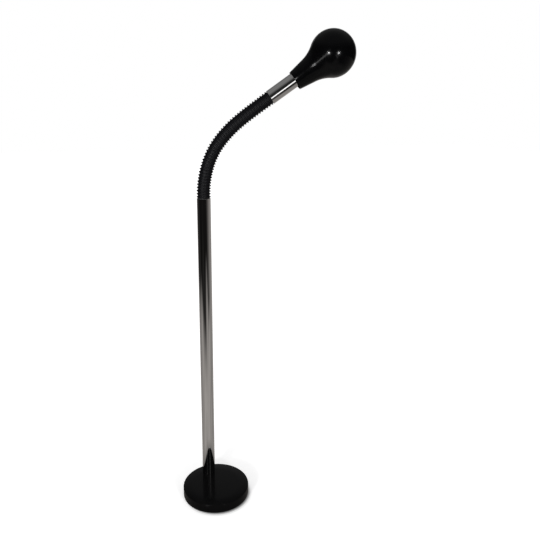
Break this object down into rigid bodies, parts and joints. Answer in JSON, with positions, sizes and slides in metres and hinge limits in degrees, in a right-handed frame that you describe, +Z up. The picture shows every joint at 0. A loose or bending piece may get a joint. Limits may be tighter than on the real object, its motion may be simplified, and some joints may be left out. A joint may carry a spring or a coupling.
{
  "type": "gooseneck reading floor lamp",
  "caption": "Floor reading lamp: weighted round base, chromed pole set back, bendable neck in a ribbed sleeve, pear-shaped spot shade that turns on its carrier.",
  "frame": {"origin": "centre of the underside of the round base, on the floor", "axes": "+Z up along the pole; -Y from the pole towards the side where most of the base reaches out, the front; +X to the right seen from the front; the neck leans 20 degrees forward of +X"},
  "size_m": [0.4411, 0.1942, 1.2355],
  "materials": {
    "chrome": "bright polished chrome plate",
    "black_enamel": "black gloss enamel",
    "sleeve_black": "black semi-gloss vinyl",
    "black_rubber": "black moulded rubber",
    "cast_iron": "raw casting",
    "zinc_steel": "zinc plated",
    "felt": "pressed black felt",
    "brass": "plain brass",
    "pale_plastic": "off-white moulding",
    "black_plastic": "black phenolic moulding",
    "bulb_glass": "opal glass",
    "bulb_metal": "threaded cap",
    "lead_jacket": "black PVC jacket"
  },
  "bodies": {
    "stand": {"base_pad": "felt", "bottom_plate": "zinc_steel", "bottom_plate_screws": "zinc_steel", "base_weight": "cast_iron", "base_cover": "black_enamel", "inlet_grommet": "black_rubber", "terminal_block": "pale_plastic", "terminal_screws": "brass", "foot_nut": "zinc_steel", "foot_washer": "zinc_steel", "foot_nipple": "zinc_steel", "pole_foot_plug": "zinc_steel", "pole_tube": "chrome", "pole_top_plug": "zinc_steel", "stand_lead": "lead_jacket", "core_link_01": "zinc_steel", "sleeve_length_01": "sleeve_black"},
    "neck_02": {"core_link_02": "zinc_steel", "sleeve_length_02": "sleeve_black"},
    "neck_03": {"core_link_03": "zinc_steel", "sleeve_length_03": "sleeve_black"},
    "neck_04": {"core_link_04": "zinc_steel", "sleeve_length_04": "sleeve_black"},
    "neck_05": {"core_link_05": "zinc_steel", "sleeve_length_05": "sleeve_black"},
    "neck_06": {"core_link_06": "zinc_steel", "sleeve_length_06": "sleeve_black"},
    "neck_07": {"core_link_07": "zinc_steel", "sleeve_length_07": "sleeve_black", "neck_lead": "lead_jacket"},
    "neck_08": {"core_link_08": "zinc_steel", "sleeve_length_08": "sleeve_black"},
    "neck_09": {"core_link_09": "zinc_steel", "sleeve_length_09": "sleeve_black"},
    "neck_10": {"core_link_10": "zinc_steel", "sleeve_length_10": "sleeve_black"},
    "neck_11": {"core_link_11": "zinc_steel", "sleeve_length_11": "sleeve_black"},
    "neck_12": {"core_link_12": "zinc_steel", "sleeve_length_12": "sleeve_black"},
    "neck_13": {"core_link_13": "zinc_steel", "sleeve_length_13": "sleeve_black"},
    "head": {"core_link_14": "zinc_steel", "sleeve_length_14": "sleeve_black", "head_lower_plug": "zinc_steel", "head_tube": "chrome", "head_upper_plug": "zinc_steel", "head_nipple": "zinc_steel", "carrier_washer": "zinc_steel", "carrier_nut": "zinc_steel", "holder_cap": "black_plastic", "holder_block": "pale_plastic", "holder_shell": "black_plastic", "thread_shell": "brass", "holder_contacts": "brass", "bulb_cap": "bulb_metal", "bulb_glass": "bulb_glass", "head_lead": "lead_jacket"},
    "shade": {"shade": "black_enamel", "shade_carrier": "zinc_steel"}
  },
  "joints": [
    {"name": "neck_bend_01", "type": "hinge", "parent": "stand", "child": "neck_02", "pos_m": [0, 0.0618, 0.8532], "axis": [0.342, 0.9397, 0], "range_deg": [-20, 8]},
    {"name": "neck_sway_02", "type": "hinge", "parent": "neck_02", "child": "neck_03", "pos_m": [0.00236, 0.06094, 0.87526], "axis": [0.9281, -0.3378, -0.1564], "range_deg": [-13, 13]},
    {"name": "neck_bend_03", "type": "hinge", "parent": "neck_03", "child": "neck_04", "pos_m": [0.00652, 0.05943, 0.89701], "axis": [0.342, 0.9397, 0], "range_deg": [-20, 8]},
    {"name": "neck_sway_04", "type": "hinge", "parent": "neck_04", "child": "neck_05", "pos_m": [0.01244, 0.05727, 0.9183], "axis": [0.8858, -0.3224, -0.3338], "range_deg": [-13, 13]},
    {"name": "neck_bend_05", "type": "hinge", "parent": "neck_05", "child": "neck_06", "pos_m": [0.02043, 0.05436, 0.93881], "axis": [0.342, 0.9397, 0], "range_deg": [-20, 8]},
    {"name": "neck_sway_06", "type": "hinge", "parent": "neck_06", "child": "neck_07", "pos_m": [0.0307, 0.05063, 0.95813], "axis": [0.7925, -0.2885, -0.5373], "range_deg": [-13, 13], "deforming": ["neck_lead"]},
    {"name": "neck_bend_07", "type": "hinge", "parent": "neck_07", "child": "neck_08", "pos_m": [0.04281, 0.04622, 0.9762], "axis": [0.342, 0.9397, 0], "range_deg": [-20, 8]},
    {"name": "neck_sway_08", "type": "hinge", "parent": "neck_08", "child": "neck_09", "pos_m": [0.0565, 0.04124, 0.99296], "axis": [0.6844, -0.2491, -0.6852], "range_deg": [-13, 13]},
    {"name": "neck_bend_09", "type": "hinge", "parent": "neck_09", "child": "neck_10", "pos_m": [0.07138, 0.03582, 1.00852], "axis": [0.342, 0.9397, 0], "range_deg": [-15, 10]},
    {"name": "neck_sway_10", "type": "hinge", "parent": "neck_10", "child": "neck_11", "pos_m": [0.08724, 0.03005, 1.02293], "axis": [0.5945, -0.2164, -0.7744], "range_deg": [-13, 13]},
    {"name": "neck_bend_11", "type": "hinge", "parent": "neck_11", "child": "neck_12", "pos_m": [0.10368, 0.02406, 1.0366], "axis": [0.342, 0.9397, 0], "range_deg": [-15, 10]},
    {"name": "neck_sway_12", "type": "hinge", "parent": "neck_12", "child": "neck_13", "pos_m": [0.12045, 0.01796, 1.04981], "axis": [0.5556, -0.2022, -0.8064], "range_deg": [-13, 13]},
    {"name": "neck_bend_13", "type": "hinge", "parent": "neck_13", "child": "head", "pos_m": [0.13733, 0.01182, 1.06286], "axis": [0.342, 0.9397, 0], "range_deg": [-15, 10]},
    {"name": "shade_turn", "type": "hinge", "parent": "head", "child": "shade", "pos_m": [0.22753, -0.02102, 1.12838], "axis": [0.765, -0.2784, 0.5807], "range_deg": [-150, 150]}
  ],
  "couplings": [
    {"joint": "neck_bend_03", "follows": "neck_bend_01", "ratio": 1},
    {"joint": "neck_sway_04", "follows": "neck_sway_02", "ratio": 1},
    {"joint": "neck_bend_05", "follows": "neck_bend_01", "ratio": 1},
    {"joint": "neck_sway_06", "follows": "neck_sway_02", "ratio": 1},
    {"joint": "neck_bend_07", "follows": "neck_bend_01", "ratio": 1},
    {"joint": "neck_sway_10", "follows": "neck_sway_08", "ratio": 1},
    {"joint": "neck_bend_11", "follows": "neck_bend_09", "ratio": 1},
    {"joint": "neck_sway_12", "follows": "neck_sway_08", "ratio": 1},
    {"joint": "neck_bend_13", "follows": "neck_bend_09", "ratio": 1}
  ]
}
